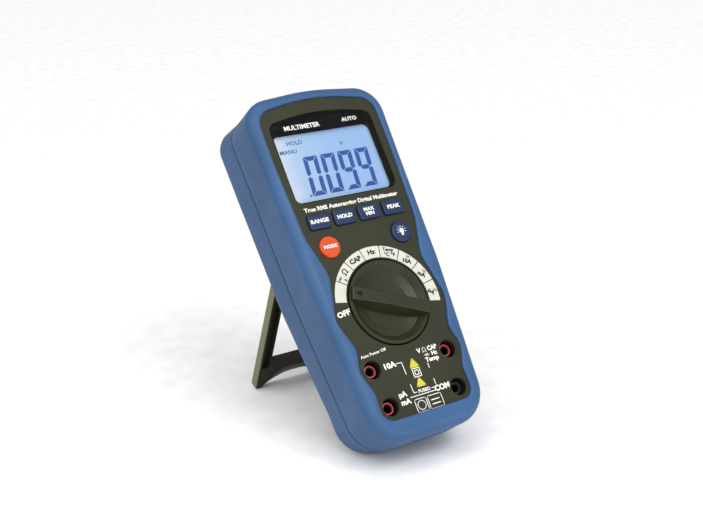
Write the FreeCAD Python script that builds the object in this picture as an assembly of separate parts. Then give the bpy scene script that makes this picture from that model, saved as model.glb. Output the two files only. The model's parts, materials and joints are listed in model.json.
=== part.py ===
"""Hand-held digital multimeter standing on its rear tilt stand.

Everything is drawn in the meter's own frame and stood up at the end:
  x  across the meter, to the right of someone reading the display
  y  along the meter, from its bottom end (0) to its top end
  z  out of the face; the face plate's surface is z = 0
The finished part has +Z up, leans back over +Y and shows its face to -Y.
All sizes are in millimetres.
"""
import FreeCAD
import Part
import math
import os
from FreeCAD import Placement, Rotation, Vector

# ---------------------------------------------------------------- driving dimensions
LENGTH = 182.0            # nominal length; the rounded top rises a little above it
BACK_Z = -41.0            # rear face
RIM_Z = 1.2               # top of the soft rim round the face plate
SPLIT_Z = -22.0           # parting plane of the two shells
LEAN = 53.4               # degrees between the meter's length and the table
STAND_ANGLE = 59.0        # degrees between the open stand and the meter's back

SKIN = 2.6                # overmould thickness on the side walls
WALL = 2.2                # hard shell thickness
PLATE = 2.4               # face plate thickness
SHOULDER_Z = -2.0         # hard shell surface under the soft rim
CEILING_Z = -4.0          # inside of the front shell round the face plate
REAR_EDGE = 6.0           # rounding of the rear edge
FRONT_EDGE = 5.0          # rounding of the front edge
SEAM = 0.6                # width and depth of the groove between the two skins
GAP = 0.15                # clearance of a sliding fit

DIAL = (0.0, 65.5)        # selector axis
KNOB_R = 21.3
KNOB_WELL_R = 22.1
KNOB_RIM_Z = 1.0
KNOB_BAR_Z = 3.6
KNOB_BASE_Z = -6.0
SCALE_IN_R = 22.8
SCALE_OUT_R = 28.7
DETENT = 22.5             # degrees from one function to the next
POINTER = -67.5           # degrees clockwise from 12 o'clock: the first position after OFF

KEY_Y = 111.6             # row of four rectangular keys
KEY_PITCH = 14.3
KEY_SIZE = (12.0, 7.6)
ROUND_KEY = (20.8, 98.1)
ROUND_KEY_R = 5.5
KEY_TRAVEL = 1.0
KEY_TOP_Z = 1.4

LCD_VIEW = (27.6, 123.3, 158.9)   # half width, lower and upper edge of the visible area
WINDOW_TOP_Z = -0.7
WINDOW_THICK = 1.8
MASK_THICK = 0.2

JACKS = {"10a": (-21.9, 35.9), "v": (21.9, 35.9), "ma": (-19.8, 17.0), "com": (19.8, 17.0)}
JACK_WELL_R = 4.5
JACK_SLEEVE_R = 2.95
JACK_CONTACT_R = 2.45
JACK_BORE_R = 2.0         # takes a 4 mm plug
JACK_BORE_TOP_Z = -4.0
JACK_BORE_END_Z = -19.0

MAIN_BOARD_Z = -20.0      # upper face of the main board
BOARD = 1.6
DISPLAY_BOARD_Z = -10.4   # upper face of the display board

HINGE = (110.0, -38.5)    # y and z of the stand's pivot
STAND_HALF = 27.0
STAND_THICK = 5.0
STAND_RAIL = 6.6
FOOT_R = 2.3              # rounding of the feet, across the stand's thickness
PIN_R = 1.2
PIN_END = 30.2            # outer end of the stand's pins, from the middle of the meter
RECESS_Z = -35.7          # floor of the stand recess

CASE_SCREWS = [(-22.0, 172.5), (22.0, 172.5), (-10.5, 9.3), (10.5, 9.3)]
BOARD_POSTS = [(-24.6, 86.0), (24.6, 86.0), (-24.8, 46.5), (24.8, 46.5)]
BATTERY = (48.5, 26.5, 17.5)
BATTERY_Y = 133.5
DOOR_SCREWS = [(-20.0, 153.8), (20.0, 153.8)]
DOOR_Z = -39.0

# Right-hand halves of the outlines, from the bottom end to the top end: x, y, corner radius.
BODY_HALF = [(32.3, 0.0, 18.0), (33.7, 24.0, 70.0), (37.5, 80.0, 160.0), (38.9, 140.0, 400.0),
             (40.0, 178.2, 15.0), (0.0, 181.9, 130.0)]
REAR_HALF = [(31.6, 4.0, 15.0), (31.4, 25.0, 70.0), (37.4, 80.0, 160.0), (39.7, 140.0, 400.0),
             (40.5, 178.6, 12.0), (0.0, 183.6, 130.0)]
PANEL_HALF = [(28.0, 15.0, 4.0), (32.5, 160.5, 4.0)]
PLATE_HALF = [(26.2, 10.5, 6.0), (25.6, 25.5, 8.0), (29.6, 36.5, 6.5), (26.4, 46.5, 9.0),
              (31.9, 62.0, 12.0), (26.6, 84.5, 14.0), (31.8, 104.0, 18.0), (33.6, 140.0, 300.0),
              (33.6, 171.5, 9.0), (0.0, 177.3, 110.0)]
WINDOW_HALF = [(29.6, 122.0, 4.5), (29.6, 165.0, 5.0), (0.0, 170.2, 110.0)]


# ---------------------------------------------------------------- drawing helpers
def rounded(corners):
    """Closed wire through corners (x, y, radius) whose corners are tangent arcs."""
    ends = []
    count = len(corners)
    for i, (x, y, radius) in enumerate(corners):
        here = Vector(x, y, 0)
        back = (Vector(*corners[i - 1][:2], 0) - here).normalize()
        ahead = (Vector(*corners[(i + 1) % count][:2], 0) - here).normalize()
        half = back.getAngle(ahead) / 2
        cut = radius / math.tan(half)
        centre = here + (back + ahead).normalize() * (radius / math.sin(half))
        middle = centre + (here - centre).normalize() * radius
        ends.append((here + back * cut, middle, here + ahead * cut))
    edges = []
    for i, (start, middle, end) in enumerate(ends):
        before = ends[i - 1][2]
        if (start - before).Length > 1e-6:
            edges.append(Part.LineSegment(before, start).toShape())
        edges.append(Part.Arc(start, middle, end).toShape())
    return Part.Wire(edges)


def both_sides(half):
    """Corners of a closed outline from its right-hand half."""
    left = [(-x, y, r) for x, y, r in reversed(half) if x > 0]
    return half + left


def box_corners(half_x, low_y, high_y, radius, x=0.0):
    return [(x + half_x, low_y, radius), (x + half_x, high_y, radius),
            (x - half_x, high_y, radius), (x - half_x, low_y, radius)]


def slab(wire, low, high):
    """Solid between two heights inside a flat wire."""
    face = Part.Face(wire)
    face.translate(Vector(0, 0, low))
    return face.extrude(Vector(0, 0, high - low))


def inset(wire, distance):
    return wire.makeOffset2D(-distance)


def ring(outer, inner, low, high):
    return slab(outer, low, high).cut(slab(inner, low - 1, high + 1))


def block(x0, x1, y0, y1, z0, z1):
    return Part.makeBox(x1 - x0, y1 - y0, z1 - z0, Vector(x0, y0, z0))


def disc(place, radius, low, high):
    return Part.makeCylinder(radius, high - low, Vector(place[0], place[1], low))


def tube(place, outer_r, inner_r, low, high):
    return disc(place, outer_r, low, high).cut(disc(place, inner_r, low - 1, high + 1))


def rod_x(x0, x1, y, z, radius):
    return Part.makeCylinder(radius, x1 - x0, Vector(x0, y, z), Vector(1, 0, 0))


def fuse(shapes):
    whole = shapes[0].multiFuse(shapes[1:]) if len(shapes) > 1 else shapes[0]
    return whole.removeSplitter()


def cut(shape, tools):
    return shape.cut(Part.makeCompound(tools)) if tools else shape


def round_edges(shape, radius, wanted):
    """Fillet of the edges for which wanted(edge) is true."""
    edges = [e for e in shape.Edges if wanted(e)]
    return shape.makeFillet(radius, edges)


def flat_at(z):
    """Picks edges that lie in the plane at height z."""
    return lambda e: abs(e.BoundBox.ZMin - z) < 1e-3 and abs(e.BoundBox.ZMax - z) < 1e-3


def on_dial(angle, radius):
    """Point at an angle clockwise from 12 o'clock on the selector."""
    a = math.radians(angle)
    return Vector(DIAL[0] + radius * math.sin(a), DIAL[1] + radius * math.cos(a), 0)


BODY = rounded(both_sides(BODY_HALF))
REAR = rounded(both_sides(REAR_HALF))
PLATE_EDGE = rounded(both_sides(PLATE_HALF))
WINDOW = rounded(both_sides(WINDOW_HALF))
KEYS = {name: ((i - 1.5) * KEY_PITCH, KEY_Y)
        for i, name in enumerate(["range_button", "hold_button", "max_min_button", "peak_button"])}
ROUND_KEYS = {"mode_button": (-ROUND_KEY[0], ROUND_KEY[1]), "backlight_button": ROUND_KEY}


# ---------------------------------------------------------------- shells
def front_overmould():
    """Soft skin over the front shell: side wall and a rim that frames the face plate."""
    skin = slab(BODY, SPLIT_Z, RIM_Z)
    skin = round_edges(skin, FRONT_EDGE, flat_at(RIM_Z))
    skin = skin.cut(slab(inset(BODY, SKIN), SPLIT_Z - 1, SHOULDER_Z))
    skin = skin.cut(slab(PLATE_EDGE, SHOULDER_Z - 1, RIM_Z + 1))
    return skin.cut(seam_groove())


def seam_groove():
    """Shallow groove round the meter where the two skins meet."""
    return ring(inset(BODY, -1.0), inset(BODY, SEAM), SPLIT_Z - SEAM / 2, SPLIT_Z + SEAM / 2)


def front_case():
    """Hard front shell: face plate, side wall, selector well, jack wells, key guides and bosses."""
    shell = slab(inset(BODY, SKIN), SPLIT_Z, SHOULDER_Z)
    shell = shell.cut(slab(inset(BODY, SKIN + WALL), SPLIT_Z - 1, CEILING_Z))
    face = slab(inset(PLATE_EDGE, 0.05), SHOULDER_Z, 0.0)
    pocket = slab(inset(PLATE_EDGE, 2.5), CEILING_Z - 0.5, -PLATE)
    display_land = slab(rounded(box_corners(33.0, 118.5, 174.0, 6.0)), CEILING_Z, -PLATE)
    solids = [disc(p, JACK_WELL_R + 1.4, MAIN_BOARD_Z + 0.3, -2.1) for p in JACKS.values()]
    solids += [disc(DIAL, KNOB_WELL_R + 1.5, KNOB_BASE_Z - 2.0, -2.1)]
    solids += [disc(DIAL, 6.0, -13.0, KNOB_BASE_Z - 1.0)]
    solids += [disc(p, 3.0, SPLIT_Z, CEILING_Z + 1) for p in CASE_SCREWS]
    solids += [disc(p, 2.4, MAIN_BOARD_Z, -2.1) for p in BOARD_POSTS]
    whole = fuse([fuse([shell, face]).cut(pocket.cut(display_land))] + solids)
    view_half, view_low, view_high = LCD_VIEW
    openings = [slab(WINDOW, WINDOW_TOP_Z - WINDOW_THICK - MASK_THICK, 1.0),
                slab(rounded(box_corners(view_half + 0.6, view_low - 0.6, view_high + 0.6, 4.0)),
                     -9.0, 1.0),
                disc(DIAL, KNOB_WELL_R, KNOB_BASE_Z - 0.3, 1.0),
                disc(DIAL, 4.08, -14.0, 1.0)]
    openings += [disc(p, JACK_WELL_R, MAIN_BOARD_Z - 1, 1.0) for p in JACKS.values()]
    openings += [slab(key_outline(p, 0.25), -9.0, 1.0) for p in KEYS.values()]
    openings += [disc(p, ROUND_KEY_R + 0.25, -9.0, 1.0) for p in ROUND_KEYS.values()]
    openings += [disc(p, 1.25, SPLIT_Z - 1, -8.0) for p in CASE_SCREWS]
    openings += [disc(p, 1.0, MAIN_BOARD_Z - 1, -12.0) for p in BOARD_POSTS]
    return cut(whole, openings)


def rear_form(depth, low, high):
    """The rear half's drafted shape, a given depth under its surface, between two heights."""
    back = inset(REAR, depth) if depth else REAR.copy()
    split = inset(BODY, depth) if depth else BODY.copy()
    back.translate(Vector(0, 0, BACK_Z))
    split.translate(Vector(0, 0, SPLIT_Z))
    form = Part.makeLoft([back, split], True, True)
    if (low, high) == (BACK_Z, SPLIT_Z):
        return form
    return form.common(block(-60, 60, -10, LENGTH + 10, low, high))


REAR_PANEL = rounded(both_sides(PANEL_HALF))


def stand_recess():
    low = HINGE[0] - stand_reach() - 1.0
    return slab(rounded(box_corners(STAND_HALF + 0.5, low, HINGE[0] + 4.2, 2.0)), BACK_Z - 2, RECESS_Z)


def battery_bay(grow=0.0):
    """Space of the 9 V battery, open towards the back."""
    half = BATTERY[0] / 2 + 0.8 + grow
    tall = BATTERY[1] / 2 + 0.4 + grow
    return block(-half, half, BATTERY_Y - tall, BATTERY_Y + tall, BACK_Z - 1, -20.8 + grow)


def door_outline(grow=0.0):
    return rounded(box_corners(STAND_HALF + grow, 117.0 - grow, 158.0 + grow, 3.0))


def rear_overmould():
    """Soft skin over the rear shell, open over the hard rear panel."""
    form = round_edges(rear_form(0, BACK_Z, SPLIT_Z), REAR_EDGE, flat_at(BACK_Z))
    left = form.common(block(-60, 0, -10, LENGTH + 10, BACK_Z - 1, SPLIT_Z + 1))
    skin = left.fuse(left.mirror(Vector(0, 0, 0), Vector(1, 0, 0)))
    skin = skin.cut(rear_form(SKIN, BACK_Z + SKIN, SPLIT_Z))
    skin = skin.cut(slab(REAR_PANEL, BACK_Z - 1, BACK_Z + SKIN + 1))
    holes = [disc(p, 3.2, BACK_Z - 1, BACK_Z + SKIN + 1) for p in CASE_SCREWS]
    return cut(skin, [seam_groove()] + holes)


def rear_case():
    """Hard rear shell: stand recess, sealed battery bay, screw bosses and the gasket groove."""
    shell = rear_form(SKIN, BACK_Z + SKIN, SPLIT_Z)
    panel = slab(inset(REAR_PANEL, 0.05), BACK_Z + 0.4, BACK_Z + SKIN)
    cavity = rear_form(SKIN + WALL, BACK_Z + SKIN + 2.0, SPLIT_Z)
    low = HINGE[0] - stand_reach() - 3.2
    recess_outline = rounded(box_corners(STAND_HALF + 2.5, low, HINGE[0] + 6.4, 3.0))
    recess_wall = slab(recess_outline, BACK_Z + SKIN, RECESS_Z + 2.0).common(shell)
    bay_wall = battery_bay(1.6).common(block(-60, 60, 0, LENGTH, BACK_Z + SKIN, -20.8))
    bosses = [disc(p, 3.3, BACK_Z + SKIN, SPLIT_Z) for p in CASE_SCREWS]
    bosses += [disc(p, 2.8, DOOR_Z, -29.0) for p in DOOR_SCREWS]
    whole = fuse([fuse([shell, panel]).cut(cavity), recess_wall, bay_wall] + bosses)
    groove = ring(inset(BODY, SKIN + 0.6), inset(BODY, SKIN + 1.5), SPLIT_Z - 1.0, SPLIT_Z + 0.5)
    openings = [stand_recess(), battery_bay(), groove,
                slab(door_outline(0.2), BACK_Z - 1, DOOR_Z)]
    openings += [disc(p, 1.5, BACK_Z, SPLIT_Z + 1) for p in CASE_SCREWS]
    openings += [disc(p, 2.9, BACK_Z - 1, -36.0) for p in CASE_SCREWS]
    openings += [disc(p, 1.0, BACK_Z, -31.0) for p in DOOR_SCREWS]
    openings += [rod_x(side * STAND_HALF - 6, side * STAND_HALF + 6, HINGE[0], HINGE[1], PIN_R)
                 .common(block(-PIN_END, PIN_END, 0, LENGTH, BACK_Z, 0)) for side in (-1, 1)]
    return cut(whole, openings)


def case_gasket():
    """Seal that lies in the rear shell's groove."""
    return ring(inset(BODY, SKIN + 0.6), inset(BODY, SKIN + 1.5), SPLIT_Z - 1.0, SPLIT_Z)


# ---------------------------------------------------------------- display
def display_window():
    lens = slab(inset(WINDOW, 0.1), WINDOW_TOP_Z - WINDOW_THICK, WINDOW_TOP_Z)
    return round_edges(lens, 0.4, flat_at(WINDOW_TOP_Z))


def display_mask():
    half, low, high = LCD_VIEW
    top = WINDOW_TOP_Z - WINDOW_THICK
    clear = [(half, low, 3.0), (half, high, 1.0), (-half, high, 1.0), (-half, low, 3.0)]
    return ring(inset(WINDOW, 0.1), rounded(clear), top - MASK_THICK, top)


GLASS = (30.0, 119.8, 162.6)
GLASS_TOP_Z = -4.2
GLASS_LOW_Z = -6.4


def lcd_glass():
    half, low, high = GLASS
    return block(-half, half, low, high, GLASS_LOW_Z, GLASS_TOP_Z)


def lcd_backlight():
    half, low, high = GLASS
    return block(-half + 0.4, half - 0.4, low + 2.7, high - 2.7, GLASS_LOW_Z - 2.2, GLASS_LOW_Z - 0.1)


def zebra_strips():
    half, low, high = GLASS
    return [block(-half + 3, half - 3, y, y + 1.8, DISPLAY_BOARD_Z, GLASS_LOW_Z)
            for y in (low + 0.4, high - 2.2)]


def lcd_holder():
    half, low, high = GLASS
    outer = rounded(box_corners(half + 1.8, low - 1.4, high + 1.8, 2.0))
    inner = rounded(box_corners(half + 0.1, low - 0.1, high + 0.1, 0.5))
    return ring(outer, inner, DISPLAY_BOARD_Z, CEILING_Z - 0.1)


def display_board():
    outline = rounded(box_corners(32.0, 91.0, 165.6, 3.0))
    return slab(outline, DISPLAY_BOARD_Z - BOARD, DISPLAY_BOARD_Z)


# ---------------------------------------------------------------- keys
def key_outline(place, grow=0.0):
    half_x, half_y = KEY_SIZE[0] / 2 + grow, KEY_SIZE[1] / 2 + grow
    return rounded(box_corners(half_x, place[1] - half_y, place[1] + half_y, 1.3 + grow, place[0]))


KEY_FLANGE_Z = -PLATE - 0.1
KEY_FOOT_Z = DISPLAY_BOARD_Z + 0.3 + KEY_TRAVEL


def key(place):
    """Rectangular key: cap with a retaining flange below the face plate and a stem."""
    cap = slab(key_outline(place), KEY_FLANGE_Z, KEY_TOP_Z)
    cap = round_edges(cap, 0.7, flat_at(KEY_TOP_Z))
    flange = slab(key_outline(place, 0.8), KEY_FLANGE_Z - 0.8, KEY_FLANGE_Z)
    return fuse([cap, flange, disc(place, 1.8, KEY_FOOT_Z, KEY_FLANGE_Z)])


def round_key(place):
    """Round key with a slightly domed cap."""
    cap = disc(place, ROUND_KEY_R, KEY_FLANGE_Z, KEY_TOP_Z)
    cap = round_edges(cap, 0.9, flat_at(KEY_TOP_Z))
    flange = disc(place, ROUND_KEY_R + 0.9, KEY_FLANGE_Z - 0.8, KEY_FLANGE_Z)
    return fuse([cap, flange, disc(place, 1.8, KEY_FOOT_Z, KEY_FLANGE_Z)])


def all_keys():
    return list(KEYS.values()) + list(ROUND_KEYS.values())


def keypad_seal():
    """Silicone sheet through which the key stems slide, held above the display board."""
    sheet = slab(rounded(box_corners(30.5, 91.6, 117.4, 2.5)), -6.6, -5.6)
    sheet = sheet.cut(disc(DIAL, KNOB_WELL_R + 1.8, -8, -4))
    return cut(sheet, [disc(p, 1.8 + GAP, -7, -5) for p in all_keys()])


def key_domes():
    """Snap domes on the display board, one under each key."""
    return [disc(p, 2.4, DISPLAY_BOARD_Z, DISPLAY_BOARD_Z + 0.25) for p in all_keys()]


# ---------------------------------------------------------------- selector
def waisted_bar(half_length, end_half, waist_half, height):
    """Closed outline of the grip bar, narrower in its middle."""
    a = [Vector(-half_length, -end_half, height), Vector(0, -waist_half, height),
         Vector(half_length, -end_half, height)]
    b = [Vector(half_length, end_half, height), Vector(0, waist_half, height),
         Vector(-half_length, end_half, height)]
    edges = [Part.Arc(*a).toShape(), Part.LineSegment(a[2], b[0]).toShape(),
             Part.Arc(*b).toShape(), Part.LineSegment(b[2], a[0]).toShape()]
    return Part.Wire(edges)


def turned(shape):
    """Moves a shape drawn about the origin, with its pointer at +X, onto the selector axis."""
    shape = shape.copy()
    shape.rotate(Vector(0, 0, 0), Vector(0, 0, 1), 90 - POINTER)
    shape.translate(Vector(DIAL[0], DIAL[1], 0))
    return shape


def selector_knob():
    """Disc with two scooped finger dishes and a waisted grip bar between them."""
    profile = [(0, KNOB_BASE_Z), (KNOB_R, KNOB_BASE_Z), (KNOB_R, KNOB_RIM_Z - 0.6),
               (KNOB_R - 0.6, KNOB_RIM_Z), (KNOB_R - 1.4, KNOB_RIM_Z), (KNOB_R - 4.4, -1.6),
               (KNOB_R - 9.0, -2.6), (0, -3.2)]
    points = [Vector(r, 0, z) for r, z in profile]
    base = Part.Face(Part.makePolygon(points + points[:1])).revolve(Vector(0, 0, 0), Vector(0, 0, 1), 360)
    foot = waisted_bar(KNOB_R - 0.2, 4.6, 6.0, -4.0)
    crest = waisted_bar(KNOB_R - 0.2, 3.5, 2.7, KNOB_BAR_Z)
    bar = Part.makeLoft([foot, crest], True, True)
    bar = bar.common(disc((0, 0), KNOB_R - 0.3, -5, 10))
    bar = round_edges(bar, 0.5, flat_at(KNOB_BAR_Z))
    knob = fuse([base, bar])
    socket = disc((0, 0), 2.5, KNOB_BASE_Z - 1, -3.6).cut(block(1.8, 4, -4, 4, KNOB_BASE_Z - 2, 0))
    inlay = pointer_inlay()
    return turned(cut(knob, [socket, inlay]))


def pointer_inlay():
    tip, tail, half = KNOB_R - 1.6, KNOB_R - 5.2, 1.5
    points = [Vector(tip, 0, 0), Vector(tail, half, 0), Vector(tail, -half, 0)]
    arrow = Part.Face(Part.makePolygon(points + points[:1])).extrude(Vector(0, 0, 0.4))
    arrow.translate(Vector(0, 0, KNOB_BAR_Z - 0.4))
    return arrow


def knob_pointer():
    return turned(pointer_inlay())


def selector_shaft():
    """D-ended shaft from the knob to the contact rotor, with a groove for its O-ring."""
    shaft = disc((0, 0), 4.0, -16.0, KNOB_BASE_Z - 0.1)
    shaft = shaft.cut(tube((0, 0), 5.0, 2.9, -11.2, -9.4))
    key_end = disc((0, 0), 2.45, KNOB_BASE_Z - 0.1, -3.7).cut(block(1.75, 4, -4, 4, KNOB_BASE_Z - 2, 0))
    rotor = disc((0, 0), 15.0, -18.2, -16.0)
    return turned(fuse([shaft, key_end, rotor]))


def shaft_seal():
    """O-ring in the shaft's groove; it turns with the shaft and wipes the shell's bore."""
    return Part.makeTorus(3.5, 0.55, Vector(DIAL[0], DIAL[1], -10.3))


def wipers():
    """Sprung contact bridges under the rotor, just clear of the tracks."""
    found = []
    for angle, radius in ((20, 12.5), (110, 10.0), (200, 12.5), (290, 10.0)):
        arm = block(radius - 1.0, radius + 1.0, -2.6, 2.6, -18.6, -18.2)
        tips = [disc((radius, y), 0.6, MAIN_BOARD_Z + 0.12, -18.5) for y in (-1.8, 1.8)]
        bridge = fuse([arm] + tips)
        bridge.rotate(Vector(0, 0, 0), Vector(0, 0, 1), angle)
        found.append(turned(bridge))
    return found


def circlip():
    """Retaining ring that holds the shaft up under the shell's hub."""
    clip = tube((0, 0), 6.0, 4.05, -14.0, -13.2)
    return turned(clip.cut(block(0, 8, -1.2, 1.2, -15, -12)))


def detent_ring():
    """Fixed ring of notches round the rotor; 16 positions to the turn."""
    body = tube(DIAL, 19.0, 16.6, -18.6, -15.6)
    notches = [disc(on_dial(i * DETENT, 16.6), 1.0, -19, -15) for i in range(round(360 / DETENT))]
    posts = [disc(on_dial(angle, 17.9), 1.0, -15.6, KNOB_BASE_Z - 2.0) for angle in (45, 135, 225, 315)]
    return fuse([cut(body, notches)] + posts)


def detent_rollers():
    """Sprung steel rollers carried in the rotor's edge, each resting in a notch."""
    return [disc(on_dial(POINTER + i * DETENT, 15.6), 0.55, -17.8, -16.2) for i in (0, 8)]


def sector(start, end, lower, upper):
    """Closed wire of a ring sector round the selector axis, between two angles and two radii."""
    mid = (start + end) / 2
    return Part.Wire([
        Part.Arc(on_dial(start, upper), on_dial(mid, upper), on_dial(end, upper)).toShape(),
        Part.LineSegment(on_dial(end, upper), on_dial(end, lower)).toShape(),
        Part.Arc(on_dial(end, lower), on_dial(mid, lower), on_dial(start, lower)).toShape(),
        Part.LineSegment(on_dial(start, lower), on_dial(start, upper)).toShape()])


def dial_scale():
    """Printed label sectors round the knob, one for each function after OFF."""
    found = []
    first = POINTER - DETENT / 2
    for i in range(8):
        start = first + i * DETENT + (0.5 if i else 0.0)
        end = first + (i + 1) * DETENT - (0.5 if i < 7 else 0.0)
        found.append(slab(sector(start, end, SCALE_IN_R, SCALE_OUT_R), 0.0, 0.08))
    return found


# ---------------------------------------------------------------- jacks
def jack_sleeve(place):
    """Insulating sleeve that stands in the jack well, with a foot that closes the well."""
    body = disc(place, JACK_SLEEVE_R, MAIN_BOARD_Z, -3.3)
    foot = disc(place, JACK_WELL_R - 0.05, MAIN_BOARD_Z, MAIN_BOARD_Z + 1.4)
    return fuse([body, foot]).cut(disc(place, JACK_CONTACT_R, MAIN_BOARD_Z - 1, 0))


def jack_contact(place):
    """Brass socket with a solder pin through the main board."""
    body = tube(place, JACK_CONTACT_R, JACK_BORE_R, JACK_BORE_END_Z, JACK_BORE_TOP_Z)
    end = disc(place, JACK_CONTACT_R, MAIN_BOARD_Z, JACK_BORE_END_Z)
    return fuse([body, end, disc(place, 0.9, MAIN_BOARD_Z - BOARD - 1.0, MAIN_BOARD_Z)])


# ---------------------------------------------------------------- main board and its parts
def main_board():
    half = [(26.0, 10.0, 6.0), (27.6, 50.0, 60.0), (28.6, 116.0, 3.0)]
    board = slab(rounded(both_sides(half)), MAIN_BOARD_Z - BOARD, MAIN_BOARD_Z)
    notches = [disc(p, 3.6, -30, -10) for p in CASE_SCREWS]
    holes = [disc(p, 0.9, -30, -10) for p in JACKS.values()] + [disc(p, 1.0, -30, -10) for p in BOARD_POSTS]
    return cut(board, notches + holes)


def switch_tracks():
    """Gold contact arcs under the rotor."""
    return [slab(sector(i * 45.0 + 6.0, i * 45.0 + 39.0, radius - 0.8, radius + 0.8),
                 MAIN_BOARD_Z, MAIN_BOARD_Z + 0.05)
            for radius in (10.0, 12.5) for i in range(8)]


def board_link():
    """Pin header between the two boards."""
    found = [block(-12.5, 12.5, 92.6, 95.1, -19.0, -16.5)]
    for i in range(10):
        x = -11.4 + i * 2.54
        found.append(block(x - 0.3, x + 0.3, 93.5, 94.1, MAIN_BOARD_Z, DISPLAY_BOARD_Z - BOARD))
    return [fuse(found)]


FUSES = {"fuse_10a": (72.0, -27.8, 5.15, 38.0), "fuse_ma": (57.5, -25.9, 3.15, 32.0)}
CAP_LENGTH = 7.0


def fuse_tube(name):
    y, z, radius, length = FUSES[name]
    return rod_x(-length / 2 + CAP_LENGTH, length / 2 - CAP_LENGTH, y, z, radius - 0.3)


def fuse_caps():
    found = []
    for y, z, radius, length in FUSES.values():
        found.append(rod_x(-length / 2, -length / 2 + CAP_LENGTH, y, z, radius))
        found.append(rod_x(length / 2 - CAP_LENGTH, length / 2, y, z, radius))
    return found


def fuse_clips():
    """Spring clips on the main board that grip the fuse caps."""
    top = MAIN_BOARD_Z - BOARD
    found = []
    for y, z, radius, length in FUSES.values():
        for side in (-1, 1):
            x = side * (length / 2 - CAP_LENGTH / 2)
            clip = block(x - 2.5, x + 2.5, y - radius - 0.5, y + radius + 0.5, z - 1.0, top)
            found.append(clip.cut(rod_x(x - 4, x + 4, y, z, radius)))
    return found


def shunt():
    """10 A shunt: a stout bent wire standing on the main board."""
    top = MAIN_BOARD_Z - BOARD
    legs = [disc((x, 40.0), 0.9, -27.0, top) for x in (-14.0, 2.0)]
    return fuse(legs + [rod_x(-14.9, 2.9, 40.0, -27.0, 0.9)])


def buzzer():
    return tube((-15.0, 98.0), 8.0, 1.2, -25.6, MAIN_BOARD_Z - BOARD)


def circuit_chips():
    top = MAIN_BOARD_Z - BOARD
    found = [block(-7.0, 7.0, 20.0, 34.0, top - 1.8, top), block(6.0, 14.0, 94.0, 100.0, top - 1.6, top),
             block(-8.0, -2.0, 84.0, 92.0, top - 1.6, top)]
    under = DISPLAY_BOARD_Z - BOARD
    return found + [block(-8.0, 8.0, 130.0, 146.0, under - 1.8, under)]


def varistors():
    """Surge arresters standing beside the jacks."""
    top = MAIN_BOARD_Z - BOARD
    return [Part.makeCylinder(4.5, 3.0, Vector(x, 46.0, top - 5.0), Vector(0, 1, 0)) for x in (9.5, 20.0)]


def capacitors():
    top = MAIN_BOARD_Z - BOARD
    return [disc(p, 2.5, top - 7.0, top) for p in ((20.0, 97.0), (14.0, 88.0))]


def board_screws():
    top = MAIN_BOARD_Z - BOARD
    return [fuse([disc(p, 2.1, top - 1.5, top), disc(p, 1.0, top, MAIN_BOARD_Z + 6)]) for p in BOARD_POSTS]


# ---------------------------------------------------------------- battery
def battery():
    x0 = -BATTERY[0] / 2
    low_y = BATTERY_Y - BATTERY[1] / 2
    body = block(x0, x0 + 45.7, low_y, low_y + BATTERY[1], -38.7, -38.7 + BATTERY[2])
    return round_edges(body, 1.2, lambda e: abs(e.BoundBox.XLength - 45.7) < 0.01)


TERMINALS = [(BATTERY_Y - 6.35, 3.6), (BATTERY_Y + 6.35, 2.7)]
TERMINAL_Z = -38.7 + BATTERY[2] / 2


def battery_terminals():
    face = -BATTERY[0] / 2 + 45.7
    return [rod_x(face, face + 2.7, y, TERMINAL_Z, radius) for y, radius in TERMINALS]


def battery_contacts():
    wall = BATTERY[0] / 2 + 0.8
    return [block(wall - 0.6, wall, y - 3.0, y + 3.0, TERMINAL_Z - 5.0, -20.9) for y, _ in TERMINALS]


def battery_cover():
    plate = slab(door_outline(), BACK_Z + 0.4, DOOR_Z)
    plate = round_edges(plate, 0.5, flat_at(BACK_Z + 0.4))
    grooves = [block(-9.0, 9.0, y, y + 1.2, BACK_Z, BACK_Z + 0.9) for y in (148.0, 150.6, 153.2)]
    holes = [disc(p, 1.25, BACK_Z - 1, DOOR_Z + 1) for p in DOOR_SCREWS]
    heads = [disc(p, 2.3, BACK_Z - 1, BACK_Z + 1.3) for p in DOOR_SCREWS]
    channel = battery_gasket_ring(DOOR_Z - 0.6, DOOR_Z + 0.5)
    return cut(plate, grooves + holes + heads + [channel])


def battery_gasket_ring(low, high):
    half = BATTERY[0] / 2 + 0.8
    tall = BATTERY[1] / 2 + 0.4
    inner = rounded(box_corners(half + 0.2, BATTERY_Y - tall - 0.2, BATTERY_Y + tall + 0.2, 1.0))
    outer = rounded(box_corners(half + 0.8, BATTERY_Y - tall - 1.2, BATTERY_Y + tall + 1.2, 1.6))
    return ring(outer, inner, low, high)


def battery_gasket():
    return battery_gasket_ring(DOOR_Z - 0.6, DOOR_Z)


def battery_screws():
    found = []
    for p in DOOR_SCREWS:
        screw = fuse([disc(p, 2.2, BACK_Z + 0.5, BACK_Z + 1.3), disc(p, 1.0, BACK_Z + 1.3, -31.5)])
        found.append(cross_slot(screw, p, BACK_Z + 0.5))
    return found


def cross_slot(screw, place, head_z):
    """Cuts a cross recess into a screw head that faces the back."""
    x, y = place
    bars = [block(x - 1.3, x + 1.3, y - 0.3, y + 0.3, head_z - 1, head_z + 0.5),
            block(x - 0.3, x + 0.3, y - 1.3, y + 1.3, head_z - 1, head_z + 0.5)]
    return screw.cut(bars[0].fuse(bars[1]))


def case_screws():
    found = []
    for p in CASE_SCREWS:
        screw = fuse([disc(p, 2.7, -38.0, -36.0), disc(p, 1.25, -36.0, -12.0)])
        found.append(cross_slot(screw, p, -38.0))
    return found


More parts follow.
